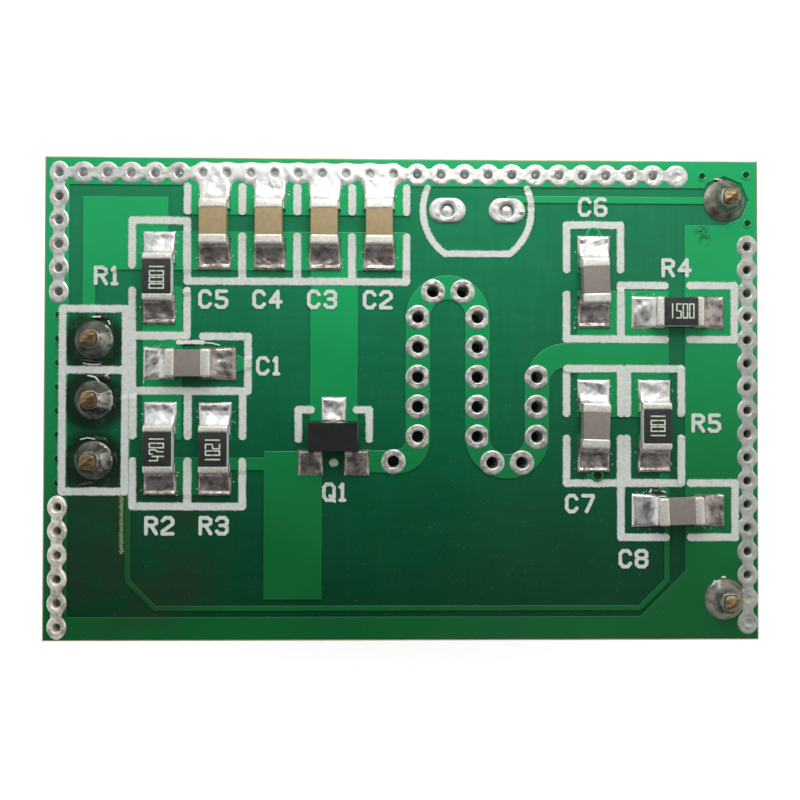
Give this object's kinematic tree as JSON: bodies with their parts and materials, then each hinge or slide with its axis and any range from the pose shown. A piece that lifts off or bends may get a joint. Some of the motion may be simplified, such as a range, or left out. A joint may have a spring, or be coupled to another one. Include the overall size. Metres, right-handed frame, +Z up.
{
  "type": "microwave radar sensor module",
  "caption": "Small green circuit board of a microwave motion sensor with an S-shaped resonator strip, via fence, transistor, chip parts, a pin header and corner pins.",
  "frame": {"origin": "under the middle of the board, in the plane of the pin ends that the module stands on", "axes": "+X along the board from the pin header to the corner pins, +Y across the board towards the capacitor row, +Z up out of the component side"},
  "size_m": [0.0304, 0.0206, 0.0111],
  "materials": {
    "solder_mask": "green solder mask over bare laminate, glossy",
    "masked_copper": "green solder mask over copper, glossy and lighter",
    "tinned_copper": "bright tinned copper",
    "dull_tin": "dull tinned copper",
    "solder": "bright solder",
    "plated_metal": "tin plating, satin",
    "pin_metal": "copper alloy, tin plated, with cut ends bare",
    "pin_plastic": "black moulded plastic",
    "legend_ink": "white printed ink",
    "resistor_glaze": "black glaze",
    "alumina": "white fired ceramic",
    "ceramic_tan": "tan fired ceramic",
    "ceramic_grey": "grey mauve fired ceramic",
    "case_black": "black moulded resin"
  },
  "bodies": {
    "root": {"c1_ceramic": "ceramic_grey", "c1_ends": "plated_metal", "c2_ceramic": "ceramic_tan", "c2_ends": "plated_metal", "c3_ceramic": "ceramic_tan", "c3_ends": "plated_metal", "c4_ceramic": "ceramic_tan", "c4_ends": "plated_metal", "c5_ceramic": "ceramic_tan", "c5_ends": "plated_metal", "c6_ceramic": "ceramic_grey", "c6_ends": "plated_metal", "c7_ceramic": "ceramic_grey", "c7_ends": "plated_metal", "c8_ceramic": "ceramic_grey", "c8_ends": "plated_metal", "capacitor_solder": "solder", "circuit_board": "solder_mask", "copper_bias": "masked_copper", "copper_emitter": "masked_copper", "copper_ground": "masked_copper", "copper_output": "masked_copper", "copper_resonator": "masked_copper", "copper_sensor": "masked_copper", "copper_stubs": "masked_copper", "copper_supply": "masked_copper", "corner_pin_body_lower": "pin_plastic", "corner_pin_body_upper": "pin_plastic", "corner_pin_lower": "pin_metal", "corner_pin_upper": "pin_metal", "fence_tin_left": "tinned_copper", "fence_tin_right": "dull_tin", "fence_tin_top": "tinned_copper", "header_body": "pin_plastic", "header_pin_1": "pin_metal", "header_pin_2": "pin_metal", "header_pin_3": "pin_metal", "legend_outlines": "legend_ink", "light_sensor_lands": "tinned_copper", "pin_solder": "solder", "r1_ends": "plated_metal", "r1_substrate": "alumina", "r2_ends": "plated_metal", "r2_substrate": "alumina", "r3_ends": "plated_metal", "r3_substrate": "alumina", "r4_ends": "plated_metal", "r4_substrate": "alumina", "r5_ends": "plated_metal", "r5_substrate": "alumina", "resistor_glazes": "resistor_glaze", "resistor_solder": "solder", "resonator_via_rings": "tinned_copper", "transistor_case": "case_black", "transistor_leads": "plated_metal", "transistor_solder": "solder"}
  },
  "joints": []
}
